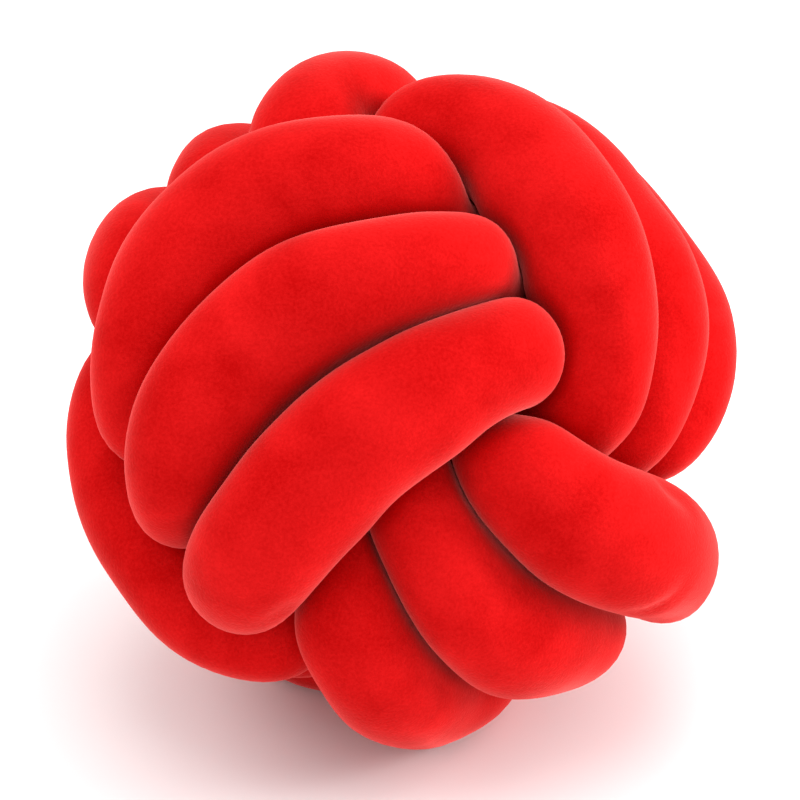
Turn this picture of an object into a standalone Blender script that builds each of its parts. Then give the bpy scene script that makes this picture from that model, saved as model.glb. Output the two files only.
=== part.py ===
"""Knot cushion: one long, stuffed velvet tube that is tied as a ball.

The tube passes round the ball three times in each of three planes at right angles, as in a monkey's fist
knot. Every plane's turns show on two opposite faces of the ball and pass under the next plane's turns on two
others, so each of the six faces shows three turns side by side. Both ends of the tube are tucked inside.

The route is worked out in the knot's own axes, as on a cube: +X goes through the front face, +Y through the
right one and +Z through the top one. The ball then stands on the corner between the back, left and bottom
faces, where it flattens a little under its own weight.
"""

import math

import bmesh
import bpy
import numpy as np
from mathutils.bvhtree import BVHTree

# Driving dimensions, in metres.
TUBE_RADIUS = 0.0305  # of the tube where it shows, before its neighbours press on it
NIP_RADIUS = 0.0265  # where the tube is squeezed under other turns
LINK_RADIUS = 0.0140  # where it crosses the middle of the ball
NIP_LENGTH = 10  # how short the squeezed stretches are; higher is shorter
LINK_LENGTH = 1.5  # how long the thin stretch inside the ball is; higher is longer
ROUNDED_END = 0.25  # share of half the first and last link over which the tube's end is rounded off
GAP = 0.0008  # between stretches of the tube that press on each other
FLAT = 0.0086  # how far the ball settles into the surface it stands on
EASE = 0.0006  # of the edge round the flat spot
MIDDLE = (0.0022, -0.0009)  # of the standing cushion's outline, seen from above, from the middle of the knot

# The mesh.
SIDES = 16  # round the tube
STEP = 0.0132  # between the tube's rings where it shows
HIDDEN_STEP = 1.5  # times as long as that where it doesn't
ROUTE_STEP = 0.003  # between the places along the tube that press on a ring
CURVE_POINTS = 24  # along each run of a link
MERGE = 1e-6  # nearer than this, corners become one

# How the tube's skin gives way.
PRESSED_EDGE = 24  # how sharply the skin is cut by what presses on it; higher is sharper
SOFTNESS = 0.92  # how roundly a full tube's skin leaves what it presses on, from 0 to 1
EDGE_ON = 0.05  # cosine of the angle from which two directions across the tube count as square to each other
OWN_LENGTH = 1.6  # times both radii: stretches nearer than that along the tube don't press on each other
CORE_SHARE = 0.15  # of the squared distance to a neighbour that the skin keeps at the least
TOUCH = 0.0001  # nearer than this, facets count as crossing
DRAWN_IN = 0.97  # of its reach is what a crossing corner keeps, each time round
DRAWING_ROUNDS = 40  # at the most

FRONT_YAW = math.radians(-17.0)  # of the knot's front face from the cushion's front, seen from above
CORNER_TILT = math.asin(math.sqrt(1 / 3))  # of a cube's faces from upright when it stands on a corner

AXIS = {"front": 0, "back": 0, "right": 1, "left": 1, "top": 2, "bottom": 2}

# The faces on which each plane's turns show, the faces under which they pass, the way they run, and the turn
# angles in degrees at which they start and end.
PLANES = [
    # shows_plus, shows_minus, under_plus, under_minus, way, start, end
    ("front", "back", "right", "left", 1, -62, 950),
    ("right", "left", "top", "bottom", 1, -62, 958),
    ("top", "bottom", "front", "back", -1, -62, 958),
]

# Each turn as it shows on a face, in the order in which the tube makes them. across is the distance of its
# middle from the plane, and reach from the ball's centre. slant is how far its ends are moved across,
# opposite ways, and lean how far its middle is moved along. squarer is added to how square the turn's
# corners are.
TURNS = [
    # face, across, reach, slant, lean, squarer
    ("front", 0.0655, 0.0925, 0.000, -0.002, 0.3),
    ("front", 0.0195, 0.105, 0.002, -0.0175, 0.3),
    ("front", -0.0318, 0.102, 0.007, -0.0215, -0.2),
    ("back", 0.050, 0.097, 0.000, 0.000, 0.0),
    ("back", 0.000, 0.105, 0.000, 0.000, 0.0),
    ("back", -0.039, 0.087, 0.000, 0.000, 0.3),
    ("right", -0.048, 0.103, 0.000, 0.001, 0.3),
    ("right", 0.002, 0.102, 0.000, 0.005, 0.0),
    ("right", 0.053, 0.093, 0.000, 0.012, -0.5),
    ("left", -0.055, 0.0925, 0.000, 0.000, 0.4),
    ("left", 0.000, 0.097, 0.000, 0.001, -0.2),
    ("left", 0.040, 0.099, 0.000, -0.007, -0.3),
    ("top", -0.033, 0.0995, 0.000, 0.000, 0.5),
    ("top", 0.004, 0.1015, 0.000, 0.000, 0.8),
    ("top", 0.052, 0.0995, 0.000, 0.000, 0.8),
    ("bottom", -0.0555, 0.0930, -0.007, -0.004, 0.3),
    ("bottom", -0.006, 0.105, -0.022, 0.000, 0.0),
    ("bottom", 0.043, 0.106, 0.003, 0.000, 0.0),
]

# Where turns pass under a face: how deep below it their middles run, measured from the ball's centre, how
# far the middle one is across, and how far apart they are. corner is how square their turns' corners are on
# the way there: 2 is an ellipse, and higher is squarer.
NIPS = {
    # face: depth, across, pitch, corner
    "right": (0.065, 0.002, 0.031, 2.8),
    "left": (0.076, -0.010, 0.032, 3.8),
    "top": (0.073, 0.003, 0.032, 3.0),
    "bottom": (0.065, 0.002, 0.032, 2.7),
    "front": (0.069, -0.018, 0.038, 2.6),
    "back": (0.061, 0.003, 0.032, 3.2),
}

# Places that the tube passes inside the ball, before the first plane's turns, between planes and after the
# last.
LINKS = [
    # points
    [(-0.008, -0.004, 0.020), (0.000, -0.032, 0.020), (0.026, -0.052, 0.022)],
    [(-0.018, -0.048, -0.030), (-0.010, -0.010, -0.032), (-0.030, 0.020, -0.048)],
    [(0.036, -0.016, -0.050), (0.038, -0.012, -0.018), (0.042, -0.038, 0.026)],
    [(0.054, 0.024, -0.022), (0.032, 0.024, -0.002), (0.006, 0.020, 0.002)],
]


def signed_power(value, exponent):
    return np.sign(value) * np.abs(value) ** exponent


def plane_route(plane):
    """Points and fullness of one plane's three turns, where 1 is full and 0 is squeezed.

    The tube shows on the plus face at 0 degrees, passes under at 90, shows on the minus face at 180, and so
    on. It moves across to the next turn where it passes under at 270 and 630 degrees.
    """
    shows_plus, shows_minus, under_plus, under_minus, way, start, end = plane
    long_axis, short_axis = AXIS[shows_plus], AXIS[under_plus]
    across_axis = 3 - long_axis - short_axis
    plus = [row[1:] for row in TURNS if row[0] == shows_plus]
    minus = [row[1:] for row in TURNS if row[0] == shows_minus]
    order = np.sign(plus[2][0] - plus[0][0])
    across, reach, slant, lean, squarer = np.array([one for pair in zip(plus, minus) for one in pair]).T

    # The seven passes under the plane's two other faces, and how far through the turns each one is.
    odd, even = (NIPS[under_plus], NIPS[under_minus])[::way]
    nip = np.array([even, odd, even, odd, even, odd, even])
    turn_number = np.array([-1, -1, -0.5, 0, 0.5, 1, 1])
    moves_on = np.array([0, 0, 1, 0, 1, 0, 0])
    nip_across = nip[:, 1] + order * nip[:, 2] * turn_number
    nip_shift = order * nip[:, 2] / 2 * moves_on

    angle = np.arange(start, end + 0.5, 1.0)
    over = np.clip(np.round(angle / 180).astype(int), 0, len(across) - 1)
    under = np.clip(np.floor((angle + 180) / 180).astype(int), 0, len(nip) - 1)
    corner = nip[under, 3] + squarer[over]
    along = signed_power(np.cos(np.radians(angle)), 2 / corner)
    side = signed_power(np.sin(np.radians(angle * way)), 2 / corner)
    shown = 1 - side**2
    points = np.zeros((len(angle), 3))
    points[:, long_axis] = reach[over] * along
    points[:, short_axis] = nip[under, 0] * side + lean[over] * shown
    points[:, across_axis] = (across[over] + slant[over] * side) * shown
    points[:, across_axis] += (nip_across[under] + nip_shift[under] * along) * (1 - shown)
    return points, 1 - side**NIP_LENGTH


def curve(nodes, tangents):
    """Points of a smooth curve through nodes, with its direction and speed given at each."""
    t = np.linspace(0, 1, CURVE_POINTS, endpoint=False)[:, None]
    runs = []
    for i in range(len(nodes) - 1):
        run = (2 * t**3 - 3 * t**2 + 1) * nodes[i] + (t**3 - 2 * t**2 + t) * tangents[i]
        runs.append(run + (3 * t**2 - 2 * t**3) * nodes[i + 1] + (t**3 - t**2) * tangents[i + 1])
    return np.concatenate(runs)[1:]


def unit(vector):
    return vector / np.linalg.norm(vector)


def link(k, shown):
    """Points and radius of the tube inside the ball, from the end of plane k - 1 to the start of plane k."""
    nodes = [np.array(place) for place in LINKS[k]]
    if k:
        before, full_before = shown[k - 1]
        nodes.insert(0, before[-1])
    if k < len(shown):
        after, full_after = shown[k]
        nodes.append(after[0])
    tangents = [(nodes[min(i + 1, len(nodes) - 1)] - nodes[max(i - 1, 0)]) / 2 for i in range(len(nodes))]
    if k:
        tangents[0] = unit(before[-1] - before[-2]) * np.linalg.norm(nodes[1] - nodes[0])
    if k < len(shown):
        tangents[-1] = unit(after[1] - after[0]) * np.linalg.norm(nodes[-1] - nodes[-2])
    points = curve(nodes, tangents)

    # The tube narrows towards the middle of a link, and it is rounded off at its own two ends.
    place = np.linspace(-1, 1, len(points))
    full = np.where(place < 0, full_before[-1] if k else 0, full_after[0] if k < len(shown) else 0)
    end_radius = NIP_RADIUS + (TUBE_RADIUS - NIP_RADIUS) * full
    radius = LINK_RADIUS + (end_radius - LINK_RADIUS) * np.abs(place) ** LINK_LENGTH
    rounded = LINK_RADIUS * np.sqrt(1 - np.clip(1 - (1 - np.abs(place)) / ROUNDED_END, 0, 0.999) ** 2)
    if not k:
        radius = np.where(place < 0, rounded, radius)
    if k == len(shown):
        radius = np.where(place > 0, rounded, radius)
    return points, radius


def route():
    """The tube's middle line from end to end, and its radius there."""
    shown = [plane_route(plane) for plane in PLANES]
    runs = []
    for k in range(len(LINKS)):
        runs.append(link(k, shown))
        if k < len(shown):
            points, full = shown[k]
            runs.append((points, NIP_RADIUS + (TUBE_RADIUS - NIP_RADIUS) * full))
    return np.concatenate([run[0] for run in runs]), np.concatenate([run[1] for run in runs])


def even_rings(step, hidden_step):
    """The route at even steps, longer where it is hidden: points, radius and length along the tube."""
    points, radius = route()
    pace = np.linalg.norm(np.diff(points, axis=0), axis=1)
    length = np.concatenate([[0], np.cumsum(pace)])
    full = np.clip((radius - NIP_RADIUS) / (TUBE_RADIUS - NIP_RADIUS), 0, 1)
    pace = pace / (hidden_step + (1 - hidden_step) * (full[1:] + full[:-1]) / 2)
    paced = np.concatenate([[0], np.cumsum(pace)])
    at = np.linspace(0, paced[-1], int(round(paced[-1] / step)) + 1)
    even = np.stack([np.interp(at, paced, points[:, k]) for k in range(3)], axis=1)
    return even, np.interp(at, paced, radius), np.interp(at, paced, length)


def cross_axes(points):
    """Two unit vectors across the tube at each ring, carried along with no twist."""
    tangent = np.gradient(points, axis=0)
    tangent /= np.linalg.norm(tangent, axis=1)[:, None]
    side = [unit(np.cross(tangent[0], [0.0, 1.0, 0.0]))]
    for i in range(1, len(points)):
        side.append(unit(side[-1] - tangent[i] * (side[-1] @ tangent[i])))
    side = np.array(side)
    return side, np.cross(tangent, side)


def pressed(points, radius, length, rays):
    """How far the tube's skin stands from its middle line along each ray.

    Where two stretches of the tube would overlap, both end at the plane where their round skins cross.
    """
    others, other_radius, other_length = even_rings(ROUTE_STEP, 1.0)
    reach = np.repeat(radius[:, None], rays.shape[1], axis=1)
    for i in range(len(points)):
        offset = others - points[i]
        distance = np.linalg.norm(offset, axis=1)
        both = other_radius + radius[i]
        near = (distance < both) & (np.abs(other_length - length[i]) > OWN_LENGTH * both)
        if not near.any():
            continue
        offset, distance, other = offset[near], distance[near], other_radius[near]
        toward = rays[i] @ offset.T
        plane = (distance**2 + radius[i] ** 2 - other**2 - GAP * distance) / 2
        plane = np.maximum(plane, CORE_SHARE * distance**2)
        limit = np.where(toward > 0, plane / np.maximum(toward, MERGE**2), 1.0).min(axis=1)
        reach[i] = (radius[i] ** -PRESSED_EDGE + limit**-PRESSED_EDGE) ** (-1 / PRESSED_EDGE)
    return reach


def rounded(reach):
    """Each ring's outline with its corners rounded off, as the skin of a full tube leaves what it presses on.

    The outline is drawn in all round by SOFTNESS times its least half width, and let out again by as much.
    """
    angle = 2 * math.pi * np.arange(SIDES) / SIDES
    facing = np.cos(angle[:, None] - angle[None, :])
    ahead = np.where(facing > EDGE_ON, 1 / np.maximum(facing, EDGE_ON), np.inf)
    width = (reach[:, :, None] * facing).max(axis=1)
    margin = SOFTNESS * width.min(axis=1, keepdims=True)
    inner = ((width - margin)[:, :, None] * ahead).min(axis=1)
    return (((inner[:, :, None] * facing).max(axis=1) + margin)[:, :, None] * ahead).min(axis=1)


def crossing_corners(rings):
    """Numbers of the skin's corners whose facets cross facets that they don't touch."""
    count, sides = rings.shape[:2]
    corner = np.arange(count * sides).reshape(count, sides)
    near, far = corner[:-1], corner[1:]
    near_next, far_next = np.roll(near, -1, axis=1), np.roll(far, -1, axis=1)
    facets = np.stack([near, near_next, far_next, near, far_next, far], axis=-1).reshape(-1, 3)
    tree = BVHTree.FromPolygons(rings.reshape(-1, 3).tolist(), facets.tolist(), epsilon=TOUCH)
    pairs = np.array(tree.overlap(tree), dtype=int).reshape(-1, 2)
    pairs = pairs[pairs[:, 0] < pairs[:, 1]]
    first, second = facets[pairs[:, 0]], facets[pairs[:, 1]]
    apart = ~(first[:, :, None] == second[:, None, :]).any(axis=(1, 2))
    return np.unique(np.concatenate([first[apart], second[apart]]))


def skin():
    """Ring by ring points of the cushion's skin, standing and at rest."""
    points, radius, length = even_rings(STEP, HIDDEN_STEP)
    side, other_side = cross_axes(points)
    angle = 2 * math.pi * np.arange(SIDES) / SIDES
    rays = np.cos(angle)[None, :, None] * side[:, None] + np.sin(angle)[None, :, None] * other_side[:, None]
    reach = rounded(pressed(points, radius, length, rays))
    rings = settled(points[:, None] + rays * reach[..., None])
    for _ in range(DRAWING_ROUNDS):
        crossing = crossing_corners(rings)
        if not len(crossing):
            break
        reach.flat[crossing] *= DRAWN_IN
        rings = settled(points[:, None] + rays * reach[..., None])
    return rings


def standing():
    """Rotation from the knot's axes to the cushion's: the cube stands on a corner, turned to the front."""
    columns = []
    for k in range(3):
        yaw = FRONT_YAW + k * math.radians(120)
        level = math.cos(CORNER_TILT)
        columns.append((level * math.sin(yaw), -level * math.cos(yaw), math.sin(CORNER_TILT)))
    return np.array(columns).T


def settled(shape):
    """The skin stood up, centred and lowered until it rests, flat where it touches."""
    stood = shape @ standing().T
    stood[..., :2] -= MIDDLE
    height = stood[..., 2] - stood[..., 2].min() - FLAT
    eased = (height + EASE) ** 2 / (4 * EASE)
    stood[..., 2] = np.where(height < -EASE, 0, np.where(height > EASE, height, eased))
    return stood


def tube_object(name, rings):
    """A grid rolled up into a closed tube through the rings' points."""
    count, sides = rings.shape[:2]
    body = bmesh.new()
    bmesh.ops.create_grid(body, x_segments=sides, y_segments=count - 1, size=0.5)
    body.verts.ensure_lookup_table()
    for index, vert in enumerate(body.verts):
        ring, side = divmod(index, sides + 1)
        vert.co = rings[ring, side % sides]
    bmesh.ops.remove_doubles(body, verts=body.verts, dist=MERGE)
    bmesh.ops.holes_fill(body, edges=[edge for edge in body.edges if edge.is_boundary], sides=0)
    bmesh.ops.recalc_face_normals(body, faces=body.faces)
    mesh = bpy.data.meshes.new(name)
    body.to_mesh(mesh)
    body.free()
    mesh.shade_smooth()
    made = bpy.data.objects.new(name, mesh)
    bpy.context.scene.collection.objects.link(made)
    return made


def velvet():
    """Short-pile red velvet."""
    cloth = bpy.data.materials.new("red_velvet")
    cloth.use_nodes = True
    surface = cloth.node_tree.nodes["Principled BSDF"]
    surface.inputs["Base Color"].default_value = (0.62, 0.012, 0.014, 1)
    surface.inputs["Roughness"].default_value = 0.9
    surface.inputs["Sheen Weight"].default_value = 0.4
    return cloth


def main():
    for old in list(bpy.data.objects):
        bpy.data.objects.remove(old)
    tube_object("knotted_tube", skin()).data.materials.append(velvet())


if __name__ == "__main__":
    main()
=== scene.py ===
"""Looks of the knot cushion: a ball tied from one long tube of stuffed, red cut-pile velvet.

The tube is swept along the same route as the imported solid. Where it presses on itself, its skin ends at the
plane between the two stretches, as a full tube does. The filling then presses the velvet out in a simulation.
"""

import math

import bmesh
import bpy
import numpy as np
from bpy.props import FloatProperty, FloatVectorProperty, IntProperty, PointerProperty
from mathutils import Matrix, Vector, noise
from mathutils.bvhtree import BVHTree


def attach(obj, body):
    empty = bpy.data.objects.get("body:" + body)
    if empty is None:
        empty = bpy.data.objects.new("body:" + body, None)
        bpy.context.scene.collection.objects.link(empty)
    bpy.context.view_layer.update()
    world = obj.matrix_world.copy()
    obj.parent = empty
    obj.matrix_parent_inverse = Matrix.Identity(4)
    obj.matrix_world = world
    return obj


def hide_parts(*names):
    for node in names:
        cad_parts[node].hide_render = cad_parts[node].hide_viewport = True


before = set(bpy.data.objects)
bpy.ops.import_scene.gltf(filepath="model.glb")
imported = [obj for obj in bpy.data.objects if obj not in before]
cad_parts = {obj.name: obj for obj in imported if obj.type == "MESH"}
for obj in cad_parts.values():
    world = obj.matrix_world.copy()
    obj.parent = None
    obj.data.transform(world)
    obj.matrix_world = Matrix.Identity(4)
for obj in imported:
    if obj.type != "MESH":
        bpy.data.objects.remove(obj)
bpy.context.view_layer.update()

bl_info = {
    "name": "Knot cushion",
    "version": (1, 0, 0),
    "blender": (4, 5, 0),
    "location": "View3D > Sidebar > Knot cushion",
    "description": "Ties a stuffed velvet tube into a ball-shaped cushion and sets it on a stage",
    "category": "Object",
}

FRONT_YAW = math.radians(-17.0)  # of the knot's front face from the cushion's front, seen from above
CORNER_TILT = math.asin(math.sqrt(1 / 3))  # of a cube's faces from upright when it stands on a corner
MIDDLE = (0.0022, -0.0009)  # of the standing cushion's outline, seen from above, from the middle of the knot

AXIS = {"front": 0, "back": 0, "right": 1, "left": 1, "top": 2, "bottom": 2}

# The faces on which each plane's turns show, the faces under which they pass, the way they run, and the turn
# angles in degrees at which they start and end.
PLANES = [
    # shows_plus, shows_minus, under_plus, under_minus, way, start, end
    ("front", "back", "right", "left", 1, -62, 950),
    ("right", "left", "top", "bottom", 1, -62, 958),
    ("top", "bottom", "front", "back", -1, -62, 958),
]

# Each turn as it shows on a face, in the order in which the tube makes them, in metres.
TURNS = [
    # face, across, reach, slant, lean, squarer
    ("front", 0.0655, 0.0925, 0.000, -0.002, 0.3),
    ("front", 0.0195, 0.105, 0.002, -0.0175, 0.3),
    ("front", -0.0318, 0.102, 0.007, -0.0215, -0.2),
    ("back", 0.050, 0.097, 0.000, 0.000, 0.0),
    ("back", 0.000, 0.105, 0.000, 0.000, 0.0),
    ("back", -0.039, 0.087, 0.000, 0.000, 0.3),
    ("right", -0.048, 0.103, 0.000, 0.001, 0.3),
    ("right", 0.002, 0.102, 0.000, 0.005, 0.0),
    ("right", 0.053, 0.093, 0.000, 0.012, -0.5),
    ("left", -0.055, 0.0925, 0.000, 0.000, 0.4),
    ("left", 0.000, 0.097, 0.000, 0.001, -0.2),
    ("left", 0.040, 0.099, 0.000, -0.007, -0.3),
    ("top", -0.033, 0.0995, 0.000, 0.000, 0.5),
    ("top", 0.004, 0.1015, 0.000, 0.000, 0.8),
    ("top", 0.052, 0.0995, 0.000, 0.000, 0.8),
    ("bottom", -0.0555, 0.0930, -0.007, -0.004, 0.3),
    ("bottom", -0.006, 0.105, -0.022, 0.000, 0.0),
    ("bottom", 0.043, 0.106, 0.003, 0.000, 0.0),
]

# Where turns pass under a face.
NIPS = {
    # face: depth, across, pitch, corner
    "right": (0.065, 0.002, 0.031, 2.8),
    "left": (0.076, -0.010, 0.032, 3.8),
    "top": (0.073, 0.003, 0.032, 3.0),
    "bottom": (0.065, 0.002, 0.032, 2.7),
    "front": (0.069, -0.018, 0.038, 2.6),
    "back": (0.061, 0.003, 0.032, 3.2),
}

# Places that the tube passes inside the ball.
LINKS = [
    # points
    [(-0.008, -0.004, 0.020), (0.000, -0.032, 0.020), (0.026, -0.052, 0.022)],
    [(-0.018, -0.048, -0.030), (-0.010, -0.010, -0.032), (-0.030, 0.020, -0.048)],
    [(0.036, -0.016, -0.050), (0.038, -0.012, -0.018), (0.042, -0.038, 0.026)],
    [(0.054, 0.024, -0.022), (0.032, 0.024, -0.002), (0.006, 0.020, 0.002)],
]

# Folds and dents that hands have left in the velvet, in metres.
FOLDS = [
    # half width, depth, places along it
    (0.0040, 0.0022, [
        (0.082, -0.100, 0.084), (0.094, -0.094, 0.082), (0.102, -0.092, 0.087), (0.109, -0.090, 0.098)]),
    (0.0090, 0.0038, [(0.096, -0.074, 0.134), (0.106, -0.072, 0.128), (0.115, -0.068, 0.118)]),
    (0.0035, 0.0020, [(-0.053, -0.129, 0.096), (-0.046, -0.132, 0.102), (-0.041, -0.133, 0.110)]),
    (0.0035, 0.0018, [(-0.132, -0.036, 0.116), (-0.125, -0.042, 0.124), (-0.117, -0.043, 0.128)]),
]

NIP_LENGTH = 10  # how short the squeezed stretches are; higher is shorter
LINK_LENGTH = 1.5  # how long the thin stretch inside the ball is; higher is longer
ROUNDED_END = 0.25  # share of half the first and last link over which the tube's end is rounded off
ROUTE_STEP = 0.003  # between the places along the tube that press on a ring, in metres
CURVE_POINTS = 24  # along each run of a link
PRESSED_EDGE = 24  # how sharply the skin turns onto a pressed side; higher is sharper
OWN_LENGTH = 1.6  # times both radii: stretches nearer than that along the tube don't press on each other
CORE_SHARE = 0.15  # of the squared distance to a neighbour that the skin keeps at the least
EDGE_ON = 0.05  # cosine of the angle from which two directions across the tube count as square to each other
SMOOTHING_ROUNDS = 2  # over the drawn skin
EASE = 0.0006  # of the edge round the flat spot, in metres
MERGE = 1e-6  # nearer than this, corners become one, in metres

# Parting the skin where it crosses itself.
TOUCH = 0.0001  # nearer than this, facets count as crossing, in metres
DRAWN_IN = 0.02  # of its reach is what a crossing corner of the drawn skin loses, each time round
DRAWN_BACK = 0.0002  # is what a crossing corner of the finished skin loses, each time round, in metres
DRAWING_ROUNDS = 40  # at the most

# Filling the tube. The simulation holds the velvet where the facing skin is near, and low down.
FRAMES = 16  # of the simulation
CRUSHED = (0.1, 0.9)  # how near the facing skin is where the hold starts, and where it is full
STANDING = (0.002, 0.008)  # heights at which the hold is full, and at which it ends, in metres
ROOM = 0.4  # of the gap to the facing skin is how far the filling may push the velvet
WEIGHT = 0.3  # of the cloth, as the simulation takes it
STRETCH = 5.0  # stiffness of the cloth along its threads
SHEAR = STRETCH / 3  # stiffness across them
BEND = 0.1  # stiffness against bending
SPARE = -0.05  # share by which the cloth is cut larger than it is drawn, with a minus
BLENDING_ROUNDS = 12  # of each corner's movement with its neighbours'
CLEAR = 0.0002  # above the skin, from where the way to the facing skin is measured, in metres
FOLD_POINTS = 31  # along each fold


def linear(code):
    """An sRGB hex colour such as #D0101A as linear numbers."""
    parts = [int(code[i : i + 2], 16) / 255 for i in (1, 3, 5)]
    parts = [p / 12.92 if p <= 0.04045 else ((p + 0.055) / 1.055) ** 2.4 for p in parts]
    return tuple(parts)


class KNOT_sizes(bpy.types.PropertyGroup):
    """Sizes of the cushion"""

    tube_radius: FloatProperty(
        name="Tube radius", description="Of the tube where it shows", default=0.0303, unit="LENGTH")
    nip_radius: FloatProperty(
        name="Nip radius", description="Of the tube where it is squeezed under other turns", default=0.0265,
        unit="LENGTH")
    link_radius: FloatProperty(
        name="Link radius", description="Of the tube where it crosses the middle of the ball", default=0.0140,
        unit="LENGTH")
    gap: FloatProperty(
        name="Gap", description="Between stretches of the tube that press on each other", default=0.0006,
        unit="LENGTH")
    flat: FloatProperty(
        name="Flat", description="How far the ball settles into what it stands on", default=0.0086,
        unit="LENGTH")
    softness: FloatProperty(
        name="Softness", description="How roundly the skin leaves what it presses on, from 0 to 1",
        # Painted shade: over this gap to the facing skin, the crease colour fades in as the creases' shade; it
        # also scales how far the filling may push the skin.
        default=0.92, min=0, max=0.95)
    crease_depth: FloatProperty(
        name="Crush depth", description="Gap to the facing skin from which the pile stands free", default=0.014,
        unit="LENGTH")
    lumps: FloatProperty(
        name="Lumps", description="How far the filling pushes the skin out and in", default=0.0006,
        unit="LENGTH")
    lump_size: FloatProperty(
        name="Lump size", description="Across a lump of filling", default=0.028, unit="LENGTH")
    step: FloatProperty(name="Step", description="Between rings along the tube", default=0.0060, unit="LENGTH")
    sides: IntProperty(name="Sides", description="Facets round the tube", default=24, min=8)
    pressure: FloatProperty(name="Pressure", description="Of the filling on the velvet", default=60.0)
    give: FloatProperty(
        name="Give", description="How far the filling may push the velvet", default=0.0025, unit="LENGTH")


class KNOT_colours(bpy.types.PropertyGroup):
    """Colours of the cushion's velvet"""

    pile: FloatVectorProperty(
        name="Pile", description="Where the pile stands up", subtype="COLOR", default=linear("#B20809"))
    brushed: FloatVectorProperty(
        name="Brushed", description="Where the pile lies towards the light", subtype="COLOR",
        default=linear("#D21718"))
    # Painted shade: a deeper, darker red painted into the creases where the facing skin is near, in place of
    # their shadow.
    crease_and_shade: FloatVectorProperty(
        name="Crushed", description="Where the pile is pressed in a crease", subtype="COLOR",
        default=linear("#B20203"))
    tips: FloatVectorProperty(
        name="Tips", description="Sheen of the fibres' tips, seen along the cloth", subtype="COLOR",
        default=linear("#FF7470"))


class KNOT_stage(bpy.types.PropertyGroup):
    """Stage, lights and camera"""

    distance: FloatProperty(
        name="Distance", description="From the camera to the middle of the ball", default=1.2, unit="LENGTH")
    height: FloatProperty(
        name="Height", description="Of the middle of the ball above the floor", default=0.1250, unit="LENGTH")
    elevation: FloatProperty(
        name="Elevation", description="Angle at which the camera looks down", default=math.radians(27),
        subtype="ANGLE")
    lens: FloatProperty(name="Lens", description="Focal length in millimetres", default=132.98)
    above: FloatProperty(name="Top light", description="Power of the light above, in watts", default=11.0)
    right: FloatProperty(
        name="Right light", description="Power of the light on the right, in watts", default=19.0)
    left: FloatProperty(name="Left light", description="Power of the light on the left, in watts", default=4.0)
    surround: FloatProperty(name="Surround", description="Strength of the light from all sides", default=1.05)
    floor: FloatVectorProperty(
        name="Floor", description="Colour of the floor", subtype="COLOR", default=linear("#F4F4F4"))


def signed_power(value, exponent):
    return np.sign(value) * np.abs(value) ** exponent


def unit(vector):
    return vector / np.linalg.norm(vector)


def plane_route(plane):
    """Points and fullness of one plane's three turns, where 1 is full and 0 is squeezed."""
    shows_plus, shows_minus, under_plus, under_minus, way, start, end = plane
    long_axis, short_axis = AXIS[shows_plus], AXIS[under_plus]
    across_axis = 3 - long_axis - short_axis
    plus = [row[1:] for row in TURNS if row[0] == shows_plus]
    minus = [row[1:] for row in TURNS if row[0] == shows_minus]
    order = np.sign(plus[2][0] - plus[0][0])
    across, reach, slant, lean, squarer = np.array([one for pair in zip(plus, minus) for one in pair]).T

    # The seven passes under the plane's two other faces, and how far through the turns each one is.
    odd, even = (NIPS[under_plus], NIPS[under_minus])[::way]
    nip = np.array([even, odd, even, odd, even, odd, even])
    turn_number = np.array([-1, -1, -0.5, 0, 0.5, 1, 1])
    moves_on = np.array([0, 0, 1, 0, 1, 0, 0])
    nip_across = nip[:, 1] + order * nip[:, 2] * turn_number
    nip_shift = order * nip[:, 2] / 2 * moves_on

    angle = np.arange(start, end + 0.5, 1.0)
    over = np.clip(np.round(angle / 180).astype(int), 0, len(across) - 1)
    under = np.clip(np.floor((angle + 180) / 180).astype(int), 0, len(nip) - 1)
    corner = nip[under, 3] + squarer[over]
    along = signed_power(np.cos(np.radians(angle)), 2 / corner)
    side = signed_power(np.sin(np.radians(angle * way)), 2 / corner)
    shown = 1 - side**2
    points = np.zeros((len(angle), 3))
    points[:, long_axis] = reach[over] * along
    points[:, short_axis] = nip[under, 0] * side + lean[over] * shown
    points[:, across_axis] = (across[over] + slant[over] * side) * shown
    points[:, across_axis] += (nip_across[under] + nip_shift[under] * along) * (1 - shown)
    return points, 1 - side**NIP_LENGTH


def curve(nodes, tangents):
    """Points of a smooth curve through nodes, with its direction and speed given at each."""
    t = np.linspace(0, 1, CURVE_POINTS, endpoint=False)[:, None]
    runs = []
    for i in range(len(nodes) - 1):
        run = (2 * t**3 - 3 * t**2 + 1) * nodes[i] + (t**3 - 2 * t**2 + t) * tangents[i]
        runs.append(run + (3 * t**2 - 2 * t**3) * nodes[i + 1] + (t**3 - t**2) * tangents[i + 1])
    return np.concatenate(runs)[1:]


def link(sizes, k, shown):
    """Points and radius of the tube inside the ball, from the end of plane k - 1 to the start of plane k."""
    nodes = [np.array(place) for place in LINKS[k]]
    if k:
        before, full_before = shown[k - 1]
        nodes.insert(0, before[-1])
    if k < len(shown):
        after, full_after = shown[k]
        nodes.append(after[0])
    tangents = [(nodes[min(i + 1, len(nodes) - 1)] - nodes[max(i - 1, 0)]) / 2 for i in range(len(nodes))]
    if k:
        tangents[0] = unit(before[-1] - before[-2]) * np.linalg.norm(nodes[1] - nodes[0])
    if k < len(shown):
        tangents[-1] = unit(after[1] - after[0]) * np.linalg.norm(nodes[-1] - nodes[-2])
    points = curve(nodes, tangents)

    # The tube narrows towards the middle of a link, and it is rounded off at its own two ends.
    place = np.linspace(-1, 1, len(points))
    full = np.where(place < 0, full_before[-1] if k else 0, full_after[0] if k < len(shown) else 0)
    end_radius = sizes.nip_radius + (sizes.tube_radius - sizes.nip_radius) * full
    radius = sizes.link_radius + (end_radius - sizes.link_radius) * np.abs(place) ** LINK_LENGTH
    end = sizes.link_radius * np.sqrt(1 - np.clip(1 - (1 - np.abs(place)) / ROUNDED_END, 0, 0.999) ** 2)
    if not k:
        radius = np.where(place < 0, end, radius)
    if k == len(shown):
        radius = np.where(place > 0, end, radius)
    return points, radius


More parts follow.
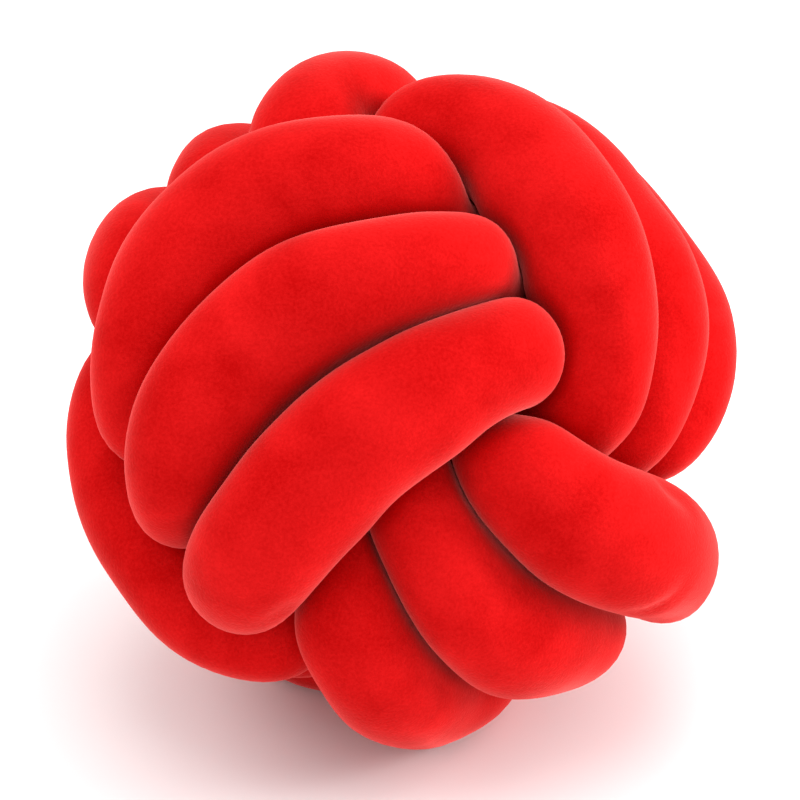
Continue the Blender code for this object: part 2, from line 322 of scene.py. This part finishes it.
def route(sizes):
    """The tube's middle line from end to end, and its radius there."""
    shown = [plane_route(plane) for plane in PLANES]
    runs = []
    for k in range(len(LINKS)):
        runs.append(link(sizes, k, shown))
        if k < len(shown):
            points, full = shown[k]
            runs.append((points, sizes.nip_radius + (sizes.tube_radius - sizes.nip_radius) * full))
    return np.concatenate([run[0] for run in runs]), np.concatenate([run[1] for run in runs])


def even_rings(sizes, step):
    """The route at even steps: points, radius and length along the tube."""
    points, radius = route(sizes)
    pace = np.linalg.norm(np.diff(points, axis=0), axis=1)
    length = np.concatenate([[0], np.cumsum(pace)])
    at = np.linspace(0, length[-1], int(round(length[-1] / step)) + 1)
    even = np.stack([np.interp(at, length, points[:, k]) for k in range(3)], axis=1)
    return even, np.interp(at, length, radius), at


def cross_axes(points):
    """Two unit vectors across the tube at each ring, carried along with no twist."""
    tangent = np.gradient(points, axis=0)
    tangent /= np.linalg.norm(tangent, axis=1)[:, None]
    side = [unit(np.cross(tangent[0], [0.0, 1.0, 0.0]))]
    for i in range(1, len(points)):
        side.append(unit(side[-1] - tangent[i] * (side[-1] @ tangent[i])))
    side = np.array(side)
    return side, np.cross(tangent, side)


def pressed(sizes, points, radius, length, rays):
    """How far the tube's skin stands from its middle line along each ray."""
    others, other_radius, other_length = even_rings(sizes, ROUTE_STEP)
    reach = np.repeat(radius[:, None], rays.shape[1], axis=1)
    for i in range(len(points)):
        offset = others - points[i]
        distance = np.linalg.norm(offset, axis=1)
        both = other_radius + radius[i]
        near = (distance < both) & (np.abs(other_length - length[i]) > OWN_LENGTH * both)
        if not near.any():
            continue
        offset, distance, other = offset[near], distance[near], other_radius[near]
        toward = rays[i] @ offset.T
        plane = (distance**2 + radius[i] ** 2 - other**2 - sizes.gap * distance) / 2
        plane = np.maximum(plane, CORE_SHARE * distance**2)
        limit = np.where(toward > 0, plane / np.maximum(toward, MERGE**2), 1.0).min(axis=1)
        reach[i] = (radius[i] ** -PRESSED_EDGE + limit**-PRESSED_EDGE) ** (-1 / PRESSED_EDGE)
    return reach


def rounded(reach, softness):
    """Each ring's outline with its corners rounded off, as the skin of a full tube leaves what it presses on.

    The outline is drawn in all round by softness times its least half width, and let out again by as much.
    """
    sides = reach.shape[1]
    angle = 2 * math.pi * np.arange(sides) / sides
    facing = np.cos(angle[:, None] - angle[None, :])
    ahead = np.where(facing > EDGE_ON, 1 / np.maximum(facing, EDGE_ON), np.inf)
    width = (reach[:, :, None] * facing).max(axis=1)
    margin = softness * width.min(axis=1, keepdims=True)
    inner = ((width - margin)[:, :, None] * ahead).min(axis=1)
    return (((inner[:, :, None] * facing).max(axis=1) + margin)[:, :, None] * ahead).min(axis=1)


def smoothed(reach):
    """The skin's reach with its small steps smoothed out, along the tube and round it."""
    for _ in range(SMOOTHING_ROUNDS):
        reach = (np.roll(reach, 1, axis=1) + 2 * reach + np.roll(reach, -1, axis=1)) / 4
        reach[1:-1] = (reach[:-2] + 2 * reach[1:-1] + reach[2:]) / 4
    return reach


def standing():
    """Rotation from the knot's axes to the cushion's: the cube stands on a corner, turned to the front."""
    columns = []
    for k in range(3):
        yaw = FRONT_YAW + k * math.radians(120)
        level = math.cos(CORNER_TILT)
        columns.append((level * math.sin(yaw), -level * math.cos(yaw), math.sin(CORNER_TILT)))
    return np.array(columns).T


def settled(sizes, shape):
    """The skin stood up, centred and lowered until it rests, flat where it touches."""
    stood = shape @ standing().T
    stood[..., :2] -= MIDDLE
    height = stood[..., 2] - stood[..., 2].min() - sizes.flat
    eased = (height + EASE) ** 2 / (4 * EASE)
    stood[..., 2] = np.where(height < -EASE, 0, np.where(height > EASE, height, eased))
    return stood


def ring_facets(count, sides):
    """The corners of each triangle between rings."""
    corner = np.arange(count * sides).reshape(count, sides)
    near, far = corner[:-1], corner[1:]
    near_next, far_next = np.roll(near, -1, axis=1), np.roll(far, -1, axis=1)
    return np.stack([near, near_next, far_next, near, far_next, far], axis=-1).reshape(-1, 3)


def crossing_corners(places, facets):
    """Numbers of the skin's corners whose facets cross facets that they don't touch."""
    tree = BVHTree.FromPolygons(places.tolist(), facets.tolist(), epsilon=TOUCH)
    pairs = np.array(tree.overlap(tree), dtype=int).reshape(-1, 2)
    pairs = pairs[pairs[:, 0] < pairs[:, 1]]
    first, second = facets[pairs[:, 0]], facets[pairs[:, 1]]
    apart = ~(first[:, :, None] == second[:, None, :]).any(axis=(1, 2))
    return np.unique(np.concatenate([first[apart], second[apart]]))


def skin(sizes):
    """Ring by ring points of the cushion's skin, and each ring's length along the tube."""
    points, radius, length = even_rings(sizes, sizes.step)
    side, other_side = cross_axes(points)
    angle = 2 * math.pi * np.arange(sizes.sides) / sizes.sides
    rays = np.cos(angle)[None, :, None] * side[:, None] + np.sin(angle)[None, :, None] * other_side[:, None]
    limit = pressed(sizes, points, radius, length, rays)
    reach = np.minimum(smoothed(rounded(limit, sizes.softness)), limit)
    places = (points[:, None] + rays * reach[..., None]) / sizes.lump_size
    lumps = np.array([noise.noise(Vector(place)) for place in places.reshape(-1, 3)])
    reach += sizes.lumps * lumps.reshape(reach.shape)
    rings = settled(sizes, points[:, None] + rays * reach[..., None])
    facets = ring_facets(*reach.shape)
    for _ in range(DRAWING_ROUNDS):
        crossing = crossing_corners(rings.reshape(-1, 3), facets)
        if not len(crossing):
            break
        drawn = np.zeros_like(reach)
        drawn.flat[crossing] = 1
        drawn = smoothed(np.where(smoothed(drawn) > 0, 1.0, 0.0))
        reach *= 1 - DRAWN_IN * drawn
        rings = settled(sizes, points[:, None] + rays * reach[..., None])
    return rings, length


# The nearness stored here is the mask of the painted crease shade, and it also holds the cloth in the
# simulation.
def measure_crease_shade(mesh, depth):
    """Store on each corner how near the facing skin is: 1 where they touch, and 0 from depth on."""
    body = bmesh.new()
    body.from_mesh(mesh)
    layers = body.verts.layers.float
    crease_and_shade = layers.get("crease_and_shade") or layers.new("crease_and_shade")
    tree = BVHTree.FromBMesh(body)
    for vert in body.verts:
        ahead = tree.ray_cast(vert.co + vert.normal * CLEAR, vert.normal, depth)[3]
        vert[crease_and_shade] = 0 if ahead is None else 1 - ahead / depth
    body.to_mesh(mesh)
    body.free()


def corner_places(mesh):
    """The mesh's corners as an array."""
    places = np.empty(len(mesh.vertices) * 3)
    mesh.vertices.foreach_get("co", places)
    return places.reshape(-1, 3)


def blended(mesh, values, rounds=BLENDING_ROUNDS):
    """The corners' values, averaged with their neighbours' time after time."""
    ends = np.empty(len(mesh.edges) * 2, dtype=np.int32)
    mesh.edges.foreach_get("vertices", ends)
    ends = ends.reshape(-1, 2)
    own, other = np.concatenate([ends, ends[:, ::-1]]).T
    neighbours = np.bincount(own, minlength=len(values))
    for _ in range(rounds):
        total = [np.bincount(own, column[other], len(values)) for column in values.T]
        values = (values + np.stack(total, axis=1) / neighbours[:, None]) / 2
    return values


def blow_up(tube, sizes):
    """Let the filling press the velvet out in a simulation, held where the tube presses on itself or stands."""
    drawn = corner_places(tube.data)
    crease_and_shade = np.empty(len(drawn))
    tube.data.attributes["crease_and_shade"].data.foreach_get("value", crease_and_shade)
    hold = np.maximum(np.interp(crease_and_shade, CRUSHED, (0, 1)), np.interp(drawn[:, 2], STANDING, (1, 0)))
    held = tube.vertex_groups.new(name="held")
    for index, weight in enumerate(hold):
        held.add([index], float(weight), "REPLACE")

    cloth = tube.modifiers.new("cloth", "CLOTH")
    velvet = cloth.settings
    velvet.mass = WEIGHT
    velvet.tension_stiffness = STRETCH
    velvet.compression_stiffness = STRETCH
    velvet.shear_stiffness = SHEAR
    velvet.bending_stiffness = BEND
    velvet.shrink_min = SPARE
    velvet.use_pressure = True
    velvet.uniform_pressure_force = sizes.pressure
    velvet.vertex_group_mass = held.name
    velvet.effector_weights.gravity = 0
    cloth.collision_settings.use_collision = False
    for number in range(1, FRAMES + 1):
        bpy.context.scene.frame_set(number)
    blown = corner_places(tube.evaluated_get(bpy.context.evaluated_depsgraph_get()).data)
    tube.modifiers.remove(cloth)
    tube.vertex_groups.remove(held)
    bpy.context.scene.frame_set(1)

    room = np.minimum(sizes.give, ROOM * sizes.crease_depth * (1 - crease_and_shade))
    room *= np.interp(drawn[:, 2], STANDING, (0, 1))
    moved = blended(tube.data, blown - drawn)
    moved *= np.minimum(1, room / np.maximum(np.linalg.norm(moved, axis=1), MERGE))[:, None]
    tube.data.vertices.foreach_set("co", (drawn + moved).ravel())
    tube.data.update()


def smooth_over(tube):
    """Turn each facet into four, on the smooth surface through them."""
    drawn = tube.data
    smoothing = tube.modifiers.new("smoothing", "SUBSURF")
    smoothing.levels = smoothing.render_levels = 1
    tube.data = bpy.data.meshes.new_from_object(tube.evaluated_get(bpy.context.evaluated_depsgraph_get()))
    tube.modifiers.remove(smoothing)
    bpy.data.meshes.remove(drawn)


def fold(mesh):
    """Press the folds into the skin, each deepest at its middle."""
    places = corner_places(mesh)
    normals = np.empty(len(places) * 3)
    mesh.vertices.foreach_get("normal", normals)
    pressed_in = np.zeros(len(places))
    for half_width, depth, stops in FOLDS:
        share = np.linspace(0, 1, FOLD_POINTS)
        line = np.stack([np.interp(share, np.linspace(0, 1, len(stops)), way) for way in zip(*stops)], axis=1)
        distance = np.linalg.norm(places[:, None] - line, axis=2)
        nearest = distance.argmin(axis=1)
        profile = np.exp(-((distance.min(axis=1) / half_width) ** 2))
        pressed_in = np.maximum(pressed_in, depth * profile * np.sin(math.pi * share)[nearest])
    places -= pressed_in[:, None] * normals.reshape(-1, 3)
    mesh.vertices.foreach_set("co", places.ravel())
    mesh.update()


def part_creases(mesh):
    """Draw the finished skin in, a little at a time, where it still crosses itself."""
    mesh.calc_loop_triangles()
    facets = np.empty(len(mesh.loop_triangles) * 3, dtype=np.int32)
    mesh.loop_triangles.foreach_get("vertices", facets)
    facets = facets.reshape(-1, 3)
    for _ in range(DRAWING_ROUNDS):
        places = corner_places(mesh)
        crossing = crossing_corners(places, facets)
        if not len(crossing):
            break
        drawn = np.zeros((len(places), 1))
        drawn[crossing] = 1
        around = np.where(blended(mesh, drawn, SMOOTHING_ROUNDS) > 0, 1.0, 0.0)
        drawn = blended(mesh, around, SMOOTHING_ROUNDS)
        normals = np.empty(len(places) * 3)
        mesh.vertices.foreach_get("normal", normals)
        places -= DRAWN_BACK * drawn * normals.reshape(-1, 3)
        mesh.vertices.foreach_set("co", places.ravel())
        mesh.update()


def tube_object(name, rings, length):
    """A grid rolled up into a closed tube through the rings' points, with its length and girth as a UV map."""
    count, sides = rings.shape[:2]
    sizes = bpy.context.scene.knot_sizes
    girth = 2 * math.pi * sizes.tube_radius
    body = bmesh.new()
    bmesh.ops.create_grid(body, x_segments=sides, y_segments=count - 1, size=0.5)
    nap = body.loops.layers.uv.new("nap")
    body.verts.ensure_lookup_table()
    for index, vert in enumerate(body.verts):
        ring, side = divmod(index, sides + 1)
        vert.co = rings[ring, side % sides]
        for loop in vert.link_loops:
            loop[nap].uv = (length[ring], side / sides * girth)
    bmesh.ops.remove_doubles(body, verts=body.verts, dist=MERGE)
    bmesh.ops.holes_fill(body, edges=[edge for edge in body.edges if edge.is_boundary], sides=0)
    bmesh.ops.recalc_face_normals(body, faces=body.faces)
    mesh = bpy.data.meshes.new(name)
    body.to_mesh(mesh)
    body.free()
    mesh.shade_smooth()
    made = bpy.data.objects.new(name, mesh)
    bpy.context.scene.collection.objects.link(made)
    return made


def add(tree, kind, inputs=None, **settings):
    """A node with its settings and its inputs: each is a value, or another node's output that is linked."""
    node = tree.nodes.new(kind)
    for name, value in settings.items():
        setattr(node, name, value)
    for name, value in (inputs or {}).items():
        if isinstance(value, bpy.types.NodeSocket):
            tree.links.new(value, node.inputs[name])
        else:
            node.inputs[name].default_value = value
    return node


def cut_pile_velvet(colours):
    """Short polyester velvet: soft, matt and deep red, with tips that catch light along the edges."""
    cloth = bpy.data.materials.new("cut_pile_velvet")
    cloth.use_nodes = True
    tree = cloth.node_tree
    surface = tree.nodes["Principled BSDF"]
    place = add(tree, "ShaderNodeTexCoord").outputs["Object"]

    # Hands leave patches some 40 mm across where the pile lies one way or the other.
    patches = add(tree, "ShaderNodeTexNoise", {
        "Vector": place, "Scale": 1 / 0.040, "Detail": 3.0, "Roughness": 0.55, "Distortion": 0.4})
    lying = add(tree, "ShaderNodeMapRange", {
        "Value": patches.outputs["Fac"], "From Min": 0.30, "From Max": 0.73})
    # Tufts stand about 0.5 mm apart; they are drawn 1.2 mm apart so that they show.
    tufts = add(tree, "ShaderNodeTexNoise", {
        "Vector": place, "Scale": 1 / 0.0012, "Detail": 2.0, "Roughness": 0.6})
    speckle = add(tree, "ShaderNodeMapRange", {
        "Value": tufts.outputs["Fac"], "From Min": 0.3, "From Max": 0.7, "To Min": -0.25, "To Max": 0.25})
    shade = add(tree, "ShaderNodeMath", {0: lying.outputs["Result"], 1: speckle.outputs["Result"]},
                operation="ADD", use_clamp=True)
    body = add(tree, "ShaderNodeMix", {
        0: shade.outputs[0], 6: (*colours.pile, 1), 7: (*colours.brushed, 1)}, data_type="RGBA")
    # Painted shade: towards the facing skin the colour turns to the crease red, darkening the creases as their
    # shade would.
    crease = add(tree, "ShaderNodeMapRange", {
        "Value": add(tree, "ShaderNodeAttribute", attribute_name="crease_and_shade").outputs["Fac"],
        "From Min": 0.05, "From Max": 0.95})
    colour = add(tree, "ShaderNodeMix", {
        0: crease.outputs["Result"], 6: body.outputs[2], 7: (*colours.crease_and_shade, 1)}, data_type="RGBA")
    tree.links.new(colour.outputs[2], surface.inputs["Base Color"])

    nap = add(tree, "ShaderNodeBump", {
        "Height": tufts.outputs["Fac"], "Strength": 0.5, "Distance": 0.0004})
    dents = add(tree, "ShaderNodeBump", {
        "Height": patches.outputs["Fac"], "Strength": 0.3, "Distance": 0.0020, "Normal": nap.outputs["Normal"]})
    tree.links.new(dents.outputs["Normal"], surface.inputs["Normal"])
    surface.inputs["Roughness"].default_value = 0.9
    surface.inputs["IOR"].default_value = 1.5
    surface.inputs["Specular IOR Level"].default_value = 0.0
    surface.inputs["Sheen Weight"].default_value = 1.0
    surface.inputs["Sheen Roughness"].default_value = 0.35
    surface.inputs["Sheen Tint"].default_value = (*colours.tips, 1)
    return cloth


class KNOT_OT_tie_tube(bpy.types.Operator):
    """Tie the stuffed velvet tube as a ball, in place of the plain solid"""

    bl_idname = "knot.tie_tube"
    bl_label = "Tie tube"

    def execute(self, context):
        sizes = context.scene.knot_sizes
        tube = tube_object("velvet_tube", *skin(sizes))
        measure_crease_shade(tube.data, sizes.crease_depth)
        blow_up(tube, sizes)
        smooth_over(tube)
        fold(tube.data)
        part_creases(tube.data)
        measure_crease_shade(tube.data, sizes.crease_depth)
        tube.data.materials.append(cut_pile_velvet(context.scene.knot_colours))
        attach(tube, "root")
        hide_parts("knotted_tube")
        return {"FINISHED"}


class KNOT_OT_set_stage(bpy.types.Operator):
    """Set the floor, the lights and the camera"""

    bl_idname = "knot.set_stage"
    bl_label = "Set stage"

    def execute(self, context):
        scene = context.scene
        stage = scene.knot_stage
        middle = Vector((-MIDDLE[0], -MIDDLE[1], stage.height))

        floor_shape = bmesh.new()
        bmesh.ops.create_grid(floor_shape, x_segments=1, y_segments=1, size=6)
        mesh = bpy.data.meshes.new("floor")
        floor_shape.to_mesh(mesh)
        floor_shape.free()
        floor = bpy.data.objects.new("floor", mesh)
        scene.collection.objects.link(floor)
        paper = bpy.data.materials.new("pale_paper")
        paper.use_nodes = True
        surface = paper.node_tree.nodes["Principled BSDF"]
        surface.inputs["Base Color"].default_value = (*stage.floor, 1)
        surface.inputs["Roughness"].default_value = 0.9
        mesh.materials.append(paper)

        lights = [
            # name, place, size, power
            ("above", (0.1, -0.1, 1.6), 1.4, stage.above),
            ("right", (1.4, 0.1, 0.45), 0.8, stage.right),
            ("left", (-1.0, 0.1, 1.1), 0.8, stage.left),
        ]
        for name, place, size, power in lights:
            lamp = bpy.data.lights.new(name, "AREA")
            lamp.shape = "DISK"
            lamp.size = size
            lamp.energy = power
            light = bpy.data.objects.new(name, lamp)
            light.location = place
            light.rotation_euler = (middle - Vector(place)).to_track_quat("-Z", "Y").to_euler()
            scene.collection.objects.link(light)

        sky = bpy.data.worlds.new("studio")
        sky.use_nodes = True
        sky.node_tree.nodes["Background"].inputs["Color"].default_value = (1, 1, 1, 1)
        sky.node_tree.nodes["Background"].inputs["Strength"].default_value = stage.surround
        scene.world = sky
        scene.view_settings.view_transform = "Standard"

        back = Vector((0, -math.cos(stage.elevation), math.sin(stage.elevation)))
        eye = bpy.data.cameras.new("camera")
        eye.lens = stage.lens
        eye.sensor_width = 36
        camera = bpy.data.objects.new("camera", eye)
        camera.location = middle + back * stage.distance
        camera.rotation_euler = (-back).to_track_quat("-Z", "Y").to_euler()
        scene.collection.objects.link(camera)
        scene.camera = camera
        return {"FINISHED"}


class KNOT_PT_panel(bpy.types.Panel):
    """Steps and settings of the knot cushion"""

    bl_label = "Knot cushion"
    bl_idname = "KNOT_PT_panel"
    bl_space_type = "VIEW_3D"
    bl_region_type = "UI"
    bl_category = "Knot cushion"

    def draw(self, context):
        for group in (context.scene.knot_sizes, context.scene.knot_colours, context.scene.knot_stage):
            box = self.layout.box()
            for name in group.bl_rna.properties.keys():
                if name not in ("rna_type", "name"):
                    box.prop(group, name)
        self.layout.operator("knot.tie_tube")
        self.layout.operator("knot.set_stage")


CLASSES = (KNOT_sizes, KNOT_colours, KNOT_stage, KNOT_OT_tie_tube, KNOT_OT_set_stage, KNOT_PT_panel)


def register():
    for one in CLASSES:
        bpy.utils.register_class(one)
    bpy.types.Scene.knot_sizes = PointerProperty(type=KNOT_sizes)
    bpy.types.Scene.knot_colours = PointerProperty(type=KNOT_colours)
    bpy.types.Scene.knot_stage = PointerProperty(type=KNOT_stage)


def unregister():
    del bpy.types.Scene.knot_stage
    del bpy.types.Scene.knot_colours
    del bpy.types.Scene.knot_sizes
    for one in reversed(CLASSES):
        bpy.utils.unregister_class(one)


def main():
    register()
    bpy.ops.knot.tie_tube()
    bpy.ops.knot.set_stage()


if __name__ == "__main__":
    main()
